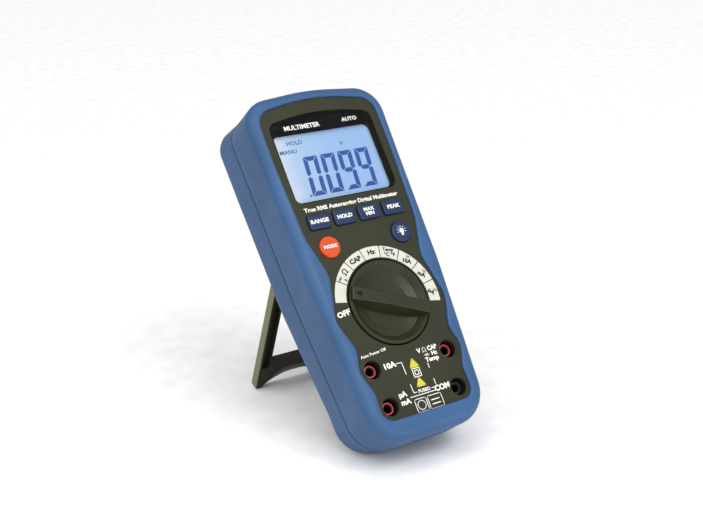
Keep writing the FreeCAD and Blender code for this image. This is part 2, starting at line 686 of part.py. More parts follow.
# ---------------------------------------------------------------- stand
def floor_level():
    """Height of the table along the leaned meter's vertical, in the meter's frame.

    The rounded rear edge of the drafted bottom end is what touches the table.
    """
    lean = math.radians(LEAN)
    draft = REAR_HALF[0][1] / (SPLIT_Z - BACK_Z)
    centre_z = BACK_Z + REAR_EDGE
    centre_y = draft * (SPLIT_Z - centre_z) + REAR_EDGE * math.sqrt(1 + draft ** 2)
    return centre_y * math.sin(lean) + centre_z * math.cos(lean) - REAR_EDGE


def stand_reach():
    """Distance from the pivot to the end of the feet, so that the open stand meets the table."""
    lean = math.radians(LEAN)
    pivot = HINGE[0] * math.sin(lean) + HINGE[1] * math.cos(lean)
    tilt = math.radians(STAND_ANGLE - (90 - LEAN))
    flat = STAND_THICK / 2 - FOOT_R
    drop = pivot - floor_level() - FOOT_R - flat * math.sin(tilt)
    return drop / math.cos(tilt) + FOOT_R


def stand_outline():
    top = HINGE[0]
    end = HINGE[0] - stand_reach()
    half = [(6.0, end + 3.4, 14.0), (14.5, end, 12.0), (STAND_HALF, end, 2.5), (STAND_HALF, top, 0.6)]
    return rounded([*half, *[(-x, y, r) for x, y, r in reversed(half)]])


def foot_scoop():
    """Arch under the foot bar, which widens towards the side that faces the meter."""
    end = HINGE[0] - stand_reach()
    narrow = [(24.5, end - 4.0, 0.5), (6.0, end + 3.4, 14.0)]
    wide = [(28.6, end - 4.0, 0.5), (13.0, end + 12.8, 10.0)]
    wires = [rounded(both_sides(narrow)), rounded(both_sides(wide))]
    wires[0].translate(Vector(0, 0, HINGE[1] - STAND_THICK / 2 - 0.01))
    wires[1].translate(Vector(0, 0, HINGE[1] + STAND_THICK / 2 + 0.01))
    return Part.makeLoft(wires, True, True)


def stand_opening():
    end = HINGE[0] - stand_reach()
    low = end + 18.2
    return rounded(box_corners(STAND_HALF - STAND_RAIL, low, HINGE[0] - 9.0, 2.5))


def tilt_stand():
    """Open frame with two side rails, an arched foot bar and a pivot barrel."""
    low_z, high_z = HINGE[1] - STAND_THICK / 2, HINGE[1] + STAND_THICK / 2
    frame = slab(stand_outline(), low_z, high_z)
    end = HINGE[0] - stand_reach()
    envelope = block(-STAND_HALF - 1, STAND_HALF + 1, end, HINGE[0] + 1, low_z, high_z)
    envelope = round_edges(envelope, FOOT_R,
                           lambda e: e.BoundBox.YMax < end + 0.1 and e.BoundBox.XLength > 1)
    frame = frame.common(envelope).cut(foot_scoop())
    frame = frame.cut(slab(stand_opening(), low_z - 1, high_z + 1))
    barrel = rod_x(-STAND_HALF, STAND_HALF, HINGE[0], HINGE[1], STAND_THICK / 2)
    lug = block(-14.0, 14.0, HINGE[0] - 1.0, HINGE[0] + 3.35, low_z + 0.6, HINGE[1] - 0.5)
    whole = fuse([frame, barrel, lug])
    for side in (-1, 1):
        channel = rounded(box_corners(2.2, end + 15.5, HINGE[0] - 8.0, 1.0, side * (STAND_HALF - 3.6)))
        whole = whole.cut(slab(channel, high_z - 3.2, high_z + 1))
        x = side * STAND_HALF
        whole = whole.cut(rod_x(x - 6, x + 6, HINGE[0], HINGE[1], PIN_R + 0.06))
    whole.rotate(Vector(0, HINGE[0], HINGE[1]), Vector(1, 0, 0), STAND_ANGLE)
    return whole


def stand_pins():
    inner = STAND_HALF - 5.8
    return [rod_x(x0, x1, HINGE[0], HINGE[1], PIN_R) for x0, x1 in ((-PIN_END, -inner), (inner, PIN_END))]


# ---------------------------------------------------------------- assembly
def nodes():
    made = {
        "front_overmould": front_overmould(), "front_case": front_case(),
        "rear_overmould": rear_overmould(), "rear_case": rear_case(), "case_gasket": case_gasket(),
        "display_window": display_window(), "display_mask": display_mask(), "lcd_glass": lcd_glass(),
        "lcd_backlight": lcd_backlight(), "lcd_holder": lcd_holder(), "zebra_strips": zebra_strips(),
        "display_board": display_board(), "keypad_seal": keypad_seal(), "key_domes": key_domes(),
        "dial_scale": dial_scale(), "selector_knob": selector_knob(), "knob_pointer": knob_pointer(),
        "selector_shaft": selector_shaft(), "shaft_seal": shaft_seal(), "selector_wipers": wipers(),
        "shaft_circlip": circlip(), "detent_ring": detent_ring(), "detent_rollers": detent_rollers(),
        "main_board": main_board(), "switch_tracks": switch_tracks(), "board_link": board_link(),
        "fuse_10a": fuse_tube("fuse_10a"), "fuse_ma": fuse_tube("fuse_ma"), "fuse_caps": fuse_caps(),
        "fuse_clips": fuse_clips(), "current_shunt": shunt(), "buzzer": buzzer(),
        "circuit_chips": circuit_chips(), "varistors": varistors(), "capacitors": capacitors(),
        "board_screws": board_screws(), "battery": battery(), "battery_terminals": battery_terminals(),
        "battery_contacts": battery_contacts(), "battery_cover": battery_cover(),
        "battery_gasket": battery_gasket(), "battery_screws": battery_screws(),
        "case_screws": case_screws(), "tilt_stand": tilt_stand(), "stand_pins": stand_pins(),
    }
    for name, place in KEYS.items():
        made[name] = key(place)
    for name, place in ROUND_KEYS.items():
        made[name] = round_key(place)
    for name, place in JACKS.items():
        made["jack_sleeve_" + name] = jack_sleeve(place)
        made["jack_contact_" + name] = jack_contact(place)
    return {name: shape if isinstance(shape, Part.Shape) else Part.makeCompound(shape)
            for name, shape in made.items()}


def stood_up(shapes):
    """Leans the meter back, sets it on the table and centres its box on the origin."""
    lean = Placement(Vector(0, 0, 0), Rotation(Vector(1, 0, 0), LEAN))
    leaned = {}
    for name, shape in shapes.items():
        copy = shape.copy()
        copy.Placement = lean.multiply(copy.Placement)
        leaned[name] = copy
    boxes = [shape.optimalBoundingBox(False, False) for shape in leaned.values()]
    centre_y = (min(b.YMin for b in boxes) + max(b.YMax for b in boxes)) / 2
    shift = Vector(0, -centre_y, -floor_level())
    for shape in leaned.values():
        shape.translate(shift)
    return leaned, shift


def main():
    os.makedirs("parts", exist_ok=True)
    leaned, shift = stood_up(nodes())
    for name, shape in leaned.items():
        shape.exportStep(os.path.join("parts", name + ".step"))
    print("stand reach", round(stand_reach(), 3), "shift", round(shift.y, 4), round(shift.z, 4))


main()
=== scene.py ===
import json
import math

import bmesh
import bpy
from mathutils import Matrix, Vector

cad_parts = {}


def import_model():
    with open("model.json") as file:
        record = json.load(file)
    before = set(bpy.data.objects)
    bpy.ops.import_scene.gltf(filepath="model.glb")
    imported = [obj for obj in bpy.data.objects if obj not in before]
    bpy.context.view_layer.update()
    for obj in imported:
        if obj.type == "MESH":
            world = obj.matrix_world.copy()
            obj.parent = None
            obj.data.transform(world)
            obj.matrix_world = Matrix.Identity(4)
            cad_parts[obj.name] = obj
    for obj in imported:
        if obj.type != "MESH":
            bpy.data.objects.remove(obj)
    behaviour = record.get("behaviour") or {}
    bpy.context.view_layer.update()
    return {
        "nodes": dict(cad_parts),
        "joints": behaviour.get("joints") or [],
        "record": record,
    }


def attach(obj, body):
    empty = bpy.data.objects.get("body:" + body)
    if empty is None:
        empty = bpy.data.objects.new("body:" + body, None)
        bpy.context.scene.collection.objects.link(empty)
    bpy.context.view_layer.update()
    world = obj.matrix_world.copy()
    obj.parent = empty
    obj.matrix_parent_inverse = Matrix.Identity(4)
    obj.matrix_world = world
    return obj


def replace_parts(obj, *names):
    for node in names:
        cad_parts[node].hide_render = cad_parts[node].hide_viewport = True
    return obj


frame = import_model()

# The meter's own frame, in millimetres: x across it, y along it from the bottom end, z out of the face.
MM = 0.001
turn = next(j for j in frame["joints"] if j["name"] == "selector_turn")
OUT = Vector(turn["axis"]).normalized()
ALONG = Vector((0.0, OUT.z, -OUT.y))
DIAL = Vector((0.0, 65.5))
ORIGIN = Vector(turn["pos_m"]) - ALONG * DIAL.y * MM
TURN = Matrix(((1, 0, 0), (0, ALONG.y, OUT.y), (0, ALONG.z, OUT.z)))


def world(x, y, z):
    """A point of the meter's frame, in millimetres, as a point of the scene, in metres."""
    return ORIGIN + TURN @ (Vector((x, y, z)) * MM)


# ---------------------------------------------------------------- camera
CAMERA_AT = (-309.4, -37.6, 477.3)
CAMERA_RIGHT = Vector((0.83512, -0.34409, 0.42917))
CAMERA_UP = Vector((0.18852, 0.91198, 0.36435))
lens = bpy.data.cameras.new("camera")
lens.sensor_width = 36.0
lens.lens = 61.72
lens.clip_start, lens.clip_end = 0.01, 20.0
camera = bpy.data.objects.new("camera", lens)
bpy.context.scene.collection.objects.link(camera)
right, up = TURN @ CAMERA_RIGHT, TURN @ CAMERA_UP
back = right.cross(up)
pose = Matrix((right, up, back)).transposed().to_4x4()
pose.translation = world(*CAMERA_AT)
camera.matrix_world = pose
bpy.context.scene.camera = camera


# ---------------------------------------------------------------- materials
def new_material(name):
    material = bpy.data.materials.new(name)
    material.use_nodes = True
    tree = material.node_tree
    return material, tree, tree.nodes["Principled BSDF"]


def texture(tree, kind, scale, **values):
    node = tree.nodes.new(kind)
    node.inputs["Scale"].default_value = scale
    for key, value in values.items():
        node.inputs[key].default_value = value
    coords = tree.nodes.get("coords") or tree.nodes.new("ShaderNodeTexCoord")
    coords.name = "coords"
    tree.links.new(coords.outputs["Object"], node.inputs["Vector"])
    return node


def ramp(tree, source, stops):
    node = tree.nodes.new("ShaderNodeValToRGB")
    elements = node.color_ramp.elements
    while len(elements) < len(stops):
        elements.new(0.5)
    for element, (place, colour) in zip(elements, stops):
        element.position = place
        element.color = (*colour, 1.0) if len(colour) == 3 else colour
    tree.links.new(source, node.inputs["Fac"])
    return node.outputs["Color"]


def span(tree, source, low, high):
    """Maps a value between 0 and 1 to a range."""
    node = tree.nodes.new("ShaderNodeMapRange")
    node.inputs["To Min"].default_value = low
    node.inputs["To Max"].default_value = high
    tree.links.new(source, node.inputs["Value"])
    return node.outputs["Result"]


def bumps(tree, shader, heights):
    """Chains bump maps, given as (height output, strength, distance in metres)."""
    normal = None
    for height, strength, distance in heights:
        node = tree.nodes.new("ShaderNodeBump")
        node.inputs["Strength"].default_value = strength
        node.inputs["Distance"].default_value = distance
        tree.links.new(height, node.inputs["Height"])
        if normal:
            tree.links.new(normal, node.inputs["Normal"])
        normal = node.outputs["Normal"]
    tree.links.new(normal, shader.inputs["Normal"])


def shade(colour, factor):
    return tuple(min(1.0, c * factor) for c in colour)


def moulded(name, colour, rough, grain=2200.0, depth=0.00003, spread=0.12, specular=0.5, metallic=0.0):
    """Moulded or printed surface: cloudy tone, fine grain and slightly uneven gloss."""
    material, tree, shader = new_material(name)
    cloud = texture(tree, "ShaderNodeTexNoise", 35.0, Detail=4.0, Roughness=0.6)
    fine = texture(tree, "ShaderNodeTexNoise", grain, Detail=3.0, Roughness=0.55)
    tone = ramp(tree, cloud.outputs["Fac"], [(0.3, shade(colour, 1 - spread)), (0.7, shade(colour, 1 + spread))])
    speck = tree.nodes.new("ShaderNodeMix")
    speck.data_type = "RGBA"
    speck.blend_type = "MULTIPLY"
    speck.inputs["Factor"].default_value = 0.35
    tree.links.new(tone, speck.inputs["A"])
    dots = ramp(tree, fine.outputs["Fac"], [(0.25, (0.72, 0.72, 0.72)), (0.65, (1.0, 1.0, 1.0))])
    tree.links.new(dots, speck.inputs["B"])
    tree.links.new(speck.outputs["Result"], shader.inputs["Base Color"])
    blotch = texture(tree, "ShaderNodeTexNoise", 120.0, Detail=3.0)
    tree.links.new(span(tree, blotch.outputs["Fac"], rough - 0.09, rough + 0.09), shader.inputs["Roughness"])
    shader.inputs["Specular IOR Level"].default_value = specular
    shader.inputs["Metallic"].default_value = metallic
    bumps(tree, shader, [(fine.outputs["Fac"], 0.5, depth)])
    return material


MATERIALS = {
    "blue_rubber": moulded("blue_rubber", (0.030, 0.086, 0.200), 0.46, grain=1500.0, depth=0.00005, specular=0.30),
    "face_plastic": moulded("face_plastic", (0.020, 0.0215, 0.008), 0.44, grain=2600.0, depth=0.00003, specular=0.3),
    "dark_plastic": moulded("dark_plastic", (0.018, 0.019, 0.012), 0.50, grain=2000.0, depth=0.00005, specular=0.3),
    "stand_plastic": moulded("stand_plastic", (0.020, 0.022, 0.012), 0.50, grain=2000.0, depth=0.00004, specular=0.2),
    "knob_plastic": moulded("knob_plastic", (0.018, 0.0195, 0.006), 0.38, grain=1800.0, depth=0.00003, specular=0.35),
    "black_plastic": moulded("black_plastic", (0.010, 0.010, 0.010), 0.5),
    "black_rubber": moulded("black_rubber", (0.014, 0.014, 0.014), 0.7),
    "blue_key": moulded("blue_key", (0.009, 0.024, 0.070), 0.42, grain=2400.0, specular=0.3),
    "orange_key": moulded("orange_key", (0.54, 0.062, 0.012), 0.42, grain=2400.0, spread=0.06, specular=0.3),
    "red_plastic": moulded("red_plastic", (0.56, 0.060, 0.070), 0.35, spread=0.08),
    "white_plastic": moulded("white_plastic", (0.72, 0.72, 0.69), 0.5, spread=0.04),
    "label": moulded("label", (0.55, 0.55, 0.48), 0.42, grain=3000.0, depth=0.00001, spread=0.04),
    "print_white": moulded("print_white", (0.74, 0.74, 0.70), 0.5, depth=0.00001, spread=0.04),
    "print_black": moulded("print_black", (0.006, 0.006, 0.007), 0.5, depth=0.00001, specular=0.2),
    "print_dark": moulded("print_dark", (0.009, 0.009, 0.006), 0.6, depth=0.00001, specular=0.1),
    "print_yellow": moulded("print_yellow", (0.50, 0.44, 0.035), 0.5, depth=0.00001, spread=0.06),
    "black_print": moulded("black_print", (0.008, 0.008, 0.010), 0.4, depth=0.00001, specular=0.1),
    "board": moulded("board", (0.020, 0.130, 0.050), 0.35, grain=900.0, depth=0.00002, spread=0.2),
    "diffuser": moulded("diffuser", (0.80, 0.86, 0.95), 0.4, spread=0.04),
    "steel": moulded("steel", (0.60, 0.60, 0.58), 0.32, grain=1200.0, depth=0.00002, metallic=1.0),
    "brass": moulded("brass", (0.70, 0.50, 0.20), 0.30, grain=1200.0, depth=0.00002, metallic=1.0),
    # The jack contacts' copper-tinted metal is darkened almost to black: painted shade of the deep jack wells.
    "contact_metal": moulded("contact_metal", (0.060, 0.030, 0.026), 0.45, grain=1200.0, depth=0.00002, metallic=1.0),
    "ceramic": moulded("ceramic", (0.72, 0.69, 0.62), 0.25, spread=0.06),
    "blue_ceramic": moulded("blue_ceramic", (0.03, 0.11, 0.34), 0.25),
    "battery_wrap": moulded("battery_wrap", (0.20, 0.21, 0.23), 0.3, grain=800.0),
}


STAND_HALF = 0.0270          # from the middle to the stand's flanks, in metres
FLANK_BLEND = 0.0003         # width of the change of colour, in metres
LCD_LEFT, LCD_RIGHT = -0.024, 0.036      # where the display's shading starts and ends across it, in metres


def lit_display():
    """Light blue display lit from its left edge, with faint unevenness."""
    material, tree, shader = new_material("lcd")
    coords = tree.nodes.new("ShaderNodeTexCoord")
    coords.name = "coords"
    split = tree.nodes.new("ShaderNodeSeparateXYZ")
    tree.links.new(coords.outputs["Object"], split.inputs["Vector"])
    cloud = texture(tree, "ShaderNodeTexNoise", 45.0, Detail=2.0)
    wobble = tree.nodes.new("ShaderNodeMath")
    wobble.operation = "MULTIPLY_ADD"
    wobble.inputs[1].default_value = 0.010
    tree.links.new(cloud.outputs["Fac"], wobble.inputs[0])
    tree.links.new(split.outputs["X"], wobble.inputs[2])
    place = span(tree, wobble.outputs["Value"], 0.0, 1.0)
    place.node.inputs["From Min"].default_value = LCD_LEFT
    place.node.inputs["From Max"].default_value = LCD_RIGHT
    tone = ramp(tree, place, [(0.0, (0.80, 0.88, 1.0)), (0.22, (0.52, 0.71, 0.98)), (0.5, (0.34, 0.58, 0.95)),
                              (0.86, (0.36, 0.60, 0.96)), (1.0, (0.62, 0.78, 1.0))])
    dull = ramp(tree, place, [(0.0, (0.50, 0.56, 0.66)), (0.16, (0.27, 0.38, 0.56)), (1.0, (0.20, 0.33, 0.54))])
    tree.links.new(dull, shader.inputs["Base Color"])
    tree.links.new(tone, shader.inputs["Emission Color"])
    shader.inputs["Emission Strength"].default_value = 0.36
    shader.inputs["Specular IOR Level"].default_value = 0.2
    grain = texture(tree, "ShaderNodeTexNoise", 2500.0, Detail=2.0)
    tree.links.new(span(tree, grain.outputs["Fac"], 0.32, 0.5), shader.inputs["Roughness"])
    bumps(tree, shader, [(grain.outputs["Fac"], 0.2, 0.00001)])
    return material


def paint_light_on_flanks(material, half, inner, flank):
    """Recolours a moulded material: one colour inside half, another past it. The pale flanks are painted light and
    the dark middle is painted shade.
    """
    tree = material.node_tree
    split = tree.nodes.new("ShaderNodeSeparateXYZ")
    tree.links.new(tree.nodes["coords"].outputs["Object"], split.inputs["Vector"])
    away = tree.nodes.new("ShaderNodeMath")
    away.operation = "ABSOLUTE"
    tree.links.new(split.outputs["X"], away.inputs[0])
    place = span(tree, away.outputs["Value"], 0.0, 1.0)
    place.node.inputs["From Min"].default_value = half - FLANK_BLEND
    place.node.inputs["From Max"].default_value = half
    speck = tree.nodes["Mix"]
    tree.links.new(ramp(tree, place, [(0.0, inner), (1.0, flank)]), speck.inputs["A"])


def lcd_ink(name, colour):
    """Liquid crystal segments: dark blue, still slightly lit from behind."""
    material = moulded(name, colour, 0.4, depth=0.00001, spread=0.15)
    shader = material.node_tree.nodes["Principled BSDF"]
    shader.inputs["Emission Color"].default_value = (*colour, 1.0)
    shader.inputs["Emission Strength"].default_value = 0.30
    return material


def clear_window():
    material, tree, shader = new_material("clear_window")
    smear = texture(tree, "ShaderNodeTexNoise", 60.0, Detail=5.0)
    tree.links.new(span(tree, smear.outputs["Fac"], 0.03, 0.12), shader.inputs["Roughness"])
    tree.links.new(ramp(tree, smear.outputs["Fac"], [(0.3, (0.010, 0.012, 0.014)), (0.7, (0.030, 0.034, 0.038))]),
                   shader.inputs["Base Color"])
    shader.inputs["Alpha"].default_value = 0.10
    shader.inputs["IOR"].default_value = 1.49
    bumps(tree, shader, [(smear.outputs["Fac"], 0.05, 0.00001)])
    return material


# The stand's paler flanks are painted light and its darker middle is painted shade.
paint_light_on_flanks(MATERIALS["stand_plastic"], STAND_HALF, (0.020, 0.022, 0.012), (0.170, 0.178, 0.098))
MATERIALS["lcd"] = lit_display()
MATERIALS["lcd_ink"] = lcd_ink("lcd_ink", (0.018, 0.068, 0.30))
MATERIALS["lcd_faint"] = lcd_ink("lcd_faint", (0.045, 0.115, 0.30))
MATERIALS["clear_window"] = clear_window()

slots = {s["node"]: s["material_slot"] for s in frame["record"]["subparts"]}
special = {"front_case": "face_plastic", "tilt_stand": "stand_plastic", "knob_pointer": "print_dark"}
special.update({name: "contact_metal" for name in slots if name.startswith("jack_contact")})
for name, node in frame["nodes"].items():
    node.data.materials.clear()
    node.data.materials.append(MATERIALS[special.get(name, slots[name])])


# ---------------------------------------------------------------- mesh helpers
def from_bmesh(name, bm, body, material, sharp=None):
    """Makes a piece from a bmesh drawn in the meter's frame; sharp is the angle of edges kept hard."""
    for v in bm.verts:
        v.co = world(*v.co)
    bmesh.ops.recalc_face_normals(bm, faces=bm.faces)
    data = bpy.data.meshes.new(name)
    bm.to_mesh(data)
    bm.free()
    data.materials.append(MATERIALS[material])
    piece = bpy.data.objects.new(name, data)
    bpy.context.scene.collection.objects.link(piece)
    if sharp is not None:
        data.shade_smooth()
        data.set_sharp_from_angle(angle=math.radians(sharp))
    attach(piece, body)
    return piece


def prism(bm, outline, low, high):
    """Adds a closed flat plate with the given outline."""
    lower = [bm.verts.new((x, y, low)) for x, y in outline]
    upper = [bm.verts.new((x, y, high)) for x, y in outline]
    bm.faces.new(upper)
    bm.faces.new(list(reversed(lower)))
    count = len(outline)
    for i in range(count):
        j = (i + 1) % count
        bm.faces.new((lower[i], lower[j], upper[j], upper[i]))


def dot(bm, x, y, radius, low, high, sides):
    turns = [2 * math.pi * i / sides for i in range(sides)]
    prism(bm, [(x + radius * math.cos(a), y + radius * math.sin(a)) for a in turns], low, high)


def stroke(bm, points, width, low, high, closed=False):
    """Adds a line of even width with round joints."""
    runs = list(zip(points, points[1:] + (points[:1] if closed else [])))
    if not closed:
        runs = runs[:len(points) - 1]
    for (x0, y0), (x1, y1) in runs:
        length = math.hypot(x1 - x0, y1 - y0)
        nx, ny = -(y1 - y0) / length * width / 2, (x1 - x0) / length * width / 2
        prism(bm, [(x0 + nx, y0 + ny), (x0 - nx, y0 - ny), (x1 - nx, y1 - ny), (x1 + nx, y1 + ny)], low, high)
    for x, y in points:
        dot(bm, x, y, width / 2, low, high, 10)


def arc(x, y, radius, start, end, steps):
    """Points along an arc, with angles in degrees."""
    return [(x + radius * math.cos(math.radians(start + (end - start) * i / steps)),
             y + radius * math.sin(math.radians(start + (end - start) * i / steps))) for i in range(steps + 1)]


def moved(points, x, y, angle=0.0):
    """Turns points by an angle in degrees, counter-clockwise, and shifts them."""
    c, s = math.cos(math.radians(angle)), math.sin(math.radians(angle))
    return [(x + px * c - py * s, y + px * s + py * c) for px, py in points]


CAP_HEIGHT = 0.69          # of the font's size


def letters(bm, text, x, y, height, low, high, angle=0.0, bold=0.012, stretch=1.0):
    """Adds raised lettering centred on a point, turned by an angle in degrees."""
    curve = bpy.data.curves.new("letters", "FONT")
    curve.body = text
    curve.size = height / CAP_HEIGHT
    curve.align_x, curve.align_y = "CENTER", "CENTER"
    curve.offset = bold * curve.size
    curve.resolution_u = 2
    curve.extrude = (high - low) / 2
    holder = bpy.data.objects.new("letters", curve)
    bpy.context.scene.collection.objects.link(holder)
    drawn = bpy.data.meshes.new_from_object(holder.evaluated_get(bpy.context.evaluated_depsgraph_get()))
    turned = Matrix.Rotation(math.radians(angle), 4, "Z") @ Matrix.Diagonal((stretch, 1, 1, 1))
    drawn.transform(Matrix.Translation((x, y, (low + high) / 2)) @ turned)
    bm.from_mesh(drawn)
    bpy.data.objects.remove(holder)
    bpy.data.curves.remove(curve)
    bpy.data.meshes.remove(drawn)


def on_dial(angle, radius):
    """Point at an angle clockwise from 12 o'clock on the selector."""
    a = math.radians(angle)
    return DIAL.x + radius * math.sin(a), DIAL.y + radius * math.cos(a)


# ---------------------------------------------------------------- outlines
def corner_path(corners, steps=12, run=14):
    """Samples a closed outline of straight runs and tangent arcs: (x, y, outward normal x, y)."""
    samples = []
    arcs = []
    count = len(corners)
    for i, (x, y, radius) in enumerate(corners):
        here = Vector((x, y))
        before = (Vector(corners[i - 1][:2]) - here).normalized()
        after = (Vector(corners[(i + 1) % count][:2]) - here).normalized()
        half = before.angle(after) / 2
        cut = radius / math.tan(half)
        centre = here + (before + after).normalized() * (radius / math.sin(half))
        start, end = here + before * cut - centre, here + after * cut - centre
        a0, a1 = math.atan2(start.y, start.x), math.atan2(end.y, end.x)
        sweep = (a1 - a0 + math.pi) % (2 * math.pi) - math.pi
        side = 1.0 if sweep > 0 else -1.0
        points = []
        for k in range(steps + 1):
            a = a0 + sweep * k / steps
            n = Vector((math.cos(a), math.sin(a)))
            points.append((centre + n * radius, n * side))
        arcs.append(points)
    for i, points in enumerate(arcs):
        samples += points
        (p, n), (q, m) = points[-1], arcs[(i + 1) % count][0]
        samples += [(p.lerp(q, k / run), n.lerp(m, k / run).normalized()) for k in range(1, run)]
    return samples


def both_sides(half):
    """Mirrors the right half of an outline's corners."""
    return half + [(-x, y, r) for x, y, r in reversed(half) if x > 0]


SHY = 0.03                   # keeps the finely sampled skins inside the CAD's coarser ones
BODY = corner_path(both_sides([(32.3, 0.0, 18.0), (33.7, 24.0, 70.0), (37.5, 80.0, 160.0), (38.9, 140.0, 400.0),
                               (40.0, 178.2, 15.0), (0.0, 181.9, 130.0)]))
REAR = corner_path(both_sides([(31.6, 4.0, 15.0), (31.4, 25.0, 70.0), (37.4, 80.0, 160.0), (39.7, 140.0, 400.0),
                               (40.5, 178.6, 12.0), (0.0, 183.6, 130.0)]))
PLATE = corner_path(both_sides([(26.2, 10.5, 6.0), (25.6, 25.5, 8.0), (29.6, 36.5, 6.5), (26.4, 46.5, 9.0),
                                (31.9, 62.0, 12.0), (26.6, 84.5, 14.0), (31.8, 104.0, 18.0), (33.6, 140.0, 300.0),
                                (33.6, 171.5, 9.0), (0.0, 177.3, 110.0)]))
BODY, REAR = ([(p - n * SHY, n) for p, n in outline] for outline in (BODY, REAR))
PANEL = corner_path([(28.0, 15.0, 4.0), (32.5, 160.5, 4.0), (-32.5, 160.5, 4.0), (-28.0, 15.0, 4.0)], run=90)
SPINE = (36.0, 150.0)        # ends of the middle line that outlines are matched about
SPINE_R = 30.0


def place_round(p):
    """How far round the spine a point lies, as a length along a capsule drawn about the spine."""
    low, high = SPINE
    y = min(max(p.y, low), high)
    turn = SPINE_R * math.atan2(p.y - y, abs(p.x))
    if p.x >= 0:
        return y - low + turn
    return 2 * (high - low) + SPINE_R * math.pi - (y - low) - turn


def alongside(samples, matching):
    """Points of one outline level with another outline's points, seen from the spine."""
    whole = 2 * (SPINE[1] - SPINE[0] + SPINE_R * math.pi)
    places = [place_round(p) for p, n in samples]
    first = min(range(len(places)), key=lambda i: places[i])
    order = [(first + i) % len(samples) for i in range(len(samples))]
    places = [places[i] for i in order]
    found = []
    for p, n in matching:
        a = place_round(p)
        k = next((i for i, b in enumerate(places) if b > a), 0)
        gap = (places[k] - places[k - 1]) % whole
        t = ((a - places[k - 1]) % whole) / gap if gap > 1e-9 else 0.0
        (p0, n0), (p1, n1) = samples[order[k - 1]], samples[order[k]]
        found.append((p0.lerp(p1, t), n0.lerp(n1, t).normalized()))
    return found


def rings_mesh(name, rings, body, material, sharp):
    """Closed skin through rings of equal length, each a list of (x, y, z)."""
    bm = bmesh.new()
    loops = [[bm.verts.new(p) for p in ring] for ring in rings]
    count = len(loops[0])
    for a, b in zip(loops, loops[1:] + loops[:1]):
        for i in range(count):
            j = (i + 1) % count
            bm.faces.new((a[i], a[j], b[j], b[i]))
    return from_bmesh(name, bm, body, material, sharp)


def level(samples, inset, z):
    """An outline drawn in by a distance, as a ring at one height."""
    return [((p - n * inset).x, (p - n * inset).y, z) for p, n in samples]


# ---------------------------------------------------------------- soft skins
SPLIT, BACK, RIM = -22.0, -41.0, 1.2
SEAM = 0.42                  # half width of the groove between the two skins
GROOVE = 1.1                 # depth of that groove
SEAM_EDGE = [(0.16, 0.0), (0.04, 0.06), (0.0, 0.2)]      # the groove's corners: inset, distance past the groove
STRIP_OUTER, STRIP_INNER = 0.3, 0.03     # the seam strip's two faces, above the bottom of the groove
STRIP_GAP = 0.04             # from the strip to each wall of the groove
SKIN = 2.6                   # thickness of the skins
APART = 0.02                 # from the split to each skin
FRONT_WALL, REAR_WALL = (-18.0, -12.0, -7.0), (-25.0, -29.0, -32.0)      # heights of rings up the side walls
SHOULDER = -2.0              # underside of the front skin's rim
PANEL_DEPTH = -38.4          # inner face of the rear skin
EDGE_STEPS, LIP_STEPS, PANEL_STEPS = 12, 8, 4
SCREW_HOLES, SCREW_R = [(-22.0, 172.5), (22.0, 172.5), (-10.5, 9.3), (10.5, 9.3)], 3.2
HARD_EDGE = 35               # degrees
LIP = 0.9                    # rounding of the rim's inner edge
PANEL_LIP = 0.3              # rounding of the rear skin's edge round the hard panel
FRONT_EDGE, REAR_EDGE = 5.0, 6.0


def smooth_least(a, b):
    """Close to the smaller of two lengths, without a kink where they are equal."""
    return a * b / (a ** 4 + b ** 4) ** 0.25


def front_skin():
    """Side wall, rounded front edge and the soft rim down to the face plate's shoulder."""
    plate = alongside(PLATE, BODY)
    rings = [level(BODY, SKIN, SPLIT + APART), level(BODY, GROOVE, SPLIT + APART),
             level(BODY, GROOVE, SPLIT + SEAM)]
    rings += [level(BODY, inset, SPLIT + SEAM + past) for inset, past in SEAM_EDGE]
    rings += [level(BODY, 0, z) for z in FRONT_WALL]
    reaches = [smooth_least(FRONT_EDGE, min((q - p).length for q, m in PLATE) - LIP) for p, n in BODY]
    ends = [math.acos(1 - reach / FRONT_EDGE) for reach in reaches]
    for k in range(EDGE_STEPS + 1):
        ring = []
        for (p, n), end in zip(BODY, ends):
            a = end * k / EDGE_STEPS
            ring.append((*(p - n * FRONT_EDGE * (1 - math.cos(a))), RIM - FRONT_EDGE * (1 - math.sin(a))))
        rings.append(ring)
    crest = rings[-1]
    ways = [(q - p).normalized() for (p, n), (q, m) in zip(BODY, plate)]
    for k in range(LIP_STEPS + 1):
        a = math.radians(90 * k / LIP_STEPS)
        rings.append([(*(q - way * LIP * (1 - math.sin(a))), peak[2] - LIP * (1 - math.cos(a)))
                      for (q, m), way, peak in zip(plate, ways, crest)])
    rings += [level(plate, 0, SHOULDER), level(BODY, SKIN, SHOULDER)]
    return rings_mesh("front_skin", rings, "case", "blue_rubber", HARD_EDGE)


def drafted(inset, z):
    """The side wall's outline at a height, between BODY at the split and REAR at the back."""
    share = (SPLIT - z) / (SPLIT - BACK)
    return [(*(p.lerp(q, share) - n.lerp(m, share) * inset), z) for (p, n), (q, m) in zip(BODY, REAR)]


